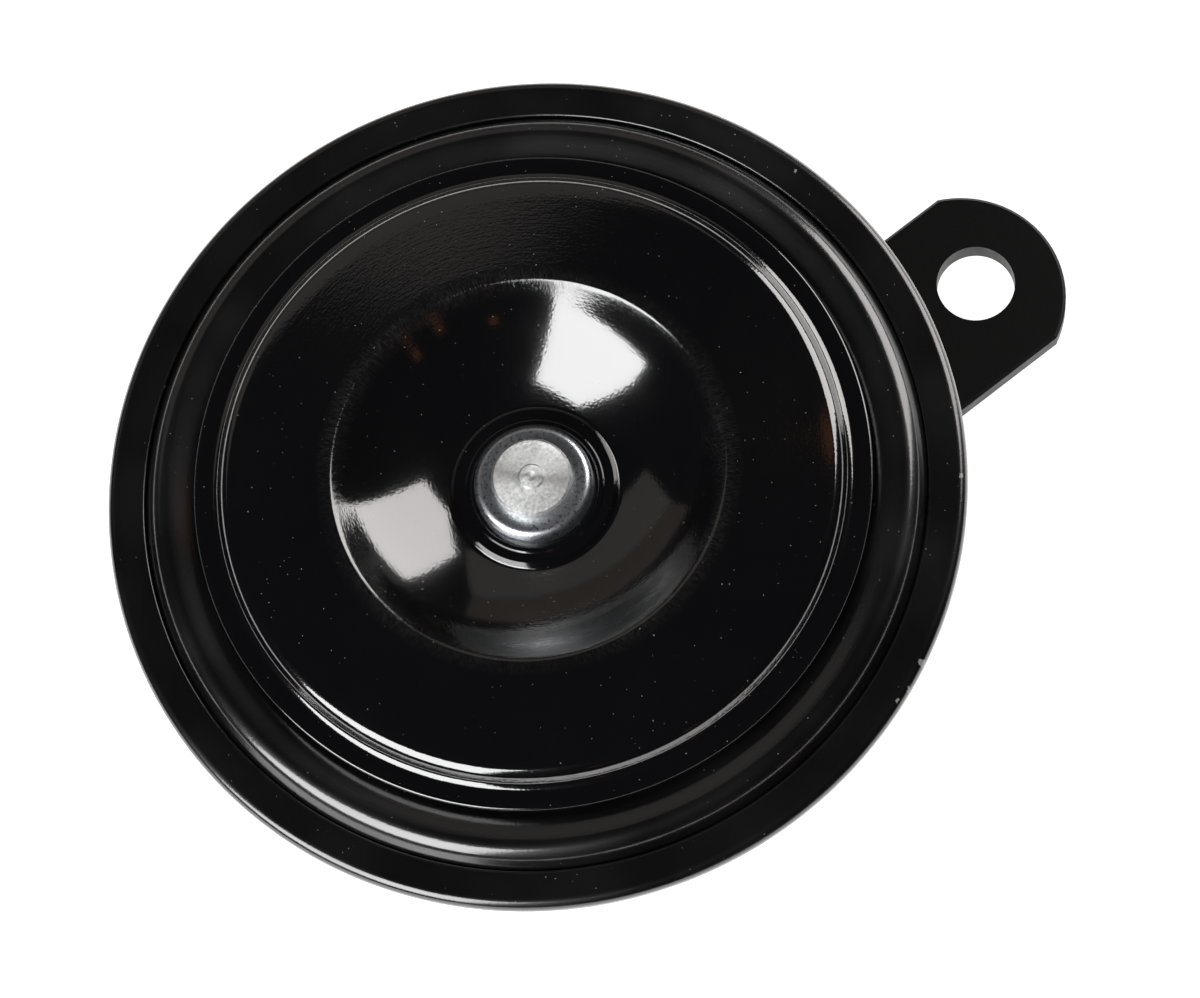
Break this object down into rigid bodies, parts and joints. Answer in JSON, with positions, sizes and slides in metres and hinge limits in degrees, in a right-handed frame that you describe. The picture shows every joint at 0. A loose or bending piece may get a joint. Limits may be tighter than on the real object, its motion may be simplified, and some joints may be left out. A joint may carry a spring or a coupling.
{
  "type": "car horn",
  "caption": "Round electric disc horn for a car: a bowl-shaped black tone disc on a rimmed steel housing, held from behind by a flat steel strap with a bolt hole.",
  "frame": {"origin": "centre of the strap's bolt hole, on the strap's rear face, which seats on the car", "axes": "+Z is the way the horn faces, along its own axis; +X runs along the strap, from the horn to the bolt hole's end"},
  "size_m": [0.1133, 0.09, 0.0613],
  "materials": {
    "black_enamel": "gloss black stoving enamel",
    "strap_paint": "semi-matt black paint",
    "zinc_plate": "bright zinc plate, rubbed and mottled",
    "soft_iron": "turned soft iron, lightly oiled",
    "spring_steel": "rolled strip steel",
    "bronze_spring": "rolled phosphor bronze",
    "tungsten": "ground tungsten",
    "tinned_brass": "tinned brass",
    "copper_wire": "enamelled copper wire",
    "bobbin_plastic": "natural nylon",
    "fibre_board": "red vulcanised fibre",
    "gasket_paper": "oiled gasket paper",
    "block_plastic": "black moulded phenolic"
  },
  "bodies": {
    "horn_body": {"mounting_strap": "strap_paint", "housing": "black_enamel", "rim_gasket": "gasket_paper", "diaphragm": "black_enamel", "pole_core": "soft_iron", "bobbin": "bobbin_plastic", "winding": "copper_wire", "yoke_plate": "soft_iron", "plate_rivets": "zinc_plate", "lock_washer": "zinc_plate", "mounting_nut": "zinc_plate", "base_insulator": "fibre_board", "middle_insulator": "fibre_board", "top_insulator": "fibre_board", "fixed_strip": "spring_steel", "fixed_contact": "tungsten", "clamp_screws": "zinc_plate", "adjusting_bush": "zinc_plate", "terminal_block": "block_plastic", "supply_terminal": "tinned_brass", "return_terminal": "tinned_brass", "terminal_rivets": "tinned_brass"},
    "sounder": {"armature": "zinc_plate", "clamp_washer": "spring_steel", "spacer_ring": "spring_steel", "tone_disc": "black_enamel", "collar": "zinc_plate"},
    "contact_leaf": {"contact_arm": "bronze_spring", "moving_contact": "tungsten", "push_pad": "block_plastic"},
    "adjuster": {"adjusting_screw": "zinc_plate"}
  },
  "joints": [
    {"name": "armature_stroke", "type": "slide", "parent": "horn_body", "child": "sounder", "axis": [0, 0, 1], "range_m": [-0.0004, 0.0004], "stiffness_N_per_m": 12000, "deforming": ["diaphragm"]},
    {"name": "contact_flex", "type": "hinge", "parent": "horn_body", "child": "contact_leaf", "pos_m": [-0.0373, 0.00284, 0.03365], "axis": [-0.7071, -0.7071, 0], "range_deg": [0, 2], "stiffness_Nm_per_rad": 0.01, "deforming": ["contact_arm"]},
    {"name": "adjuster_turn", "type": "hinge", "parent": "horn_body", "child": "adjuster", "pos_m": [-0.06353, 0.02907, 0.0298], "axis": [0, 0, 1], "range_deg": [-180, 180]}
  ]
}
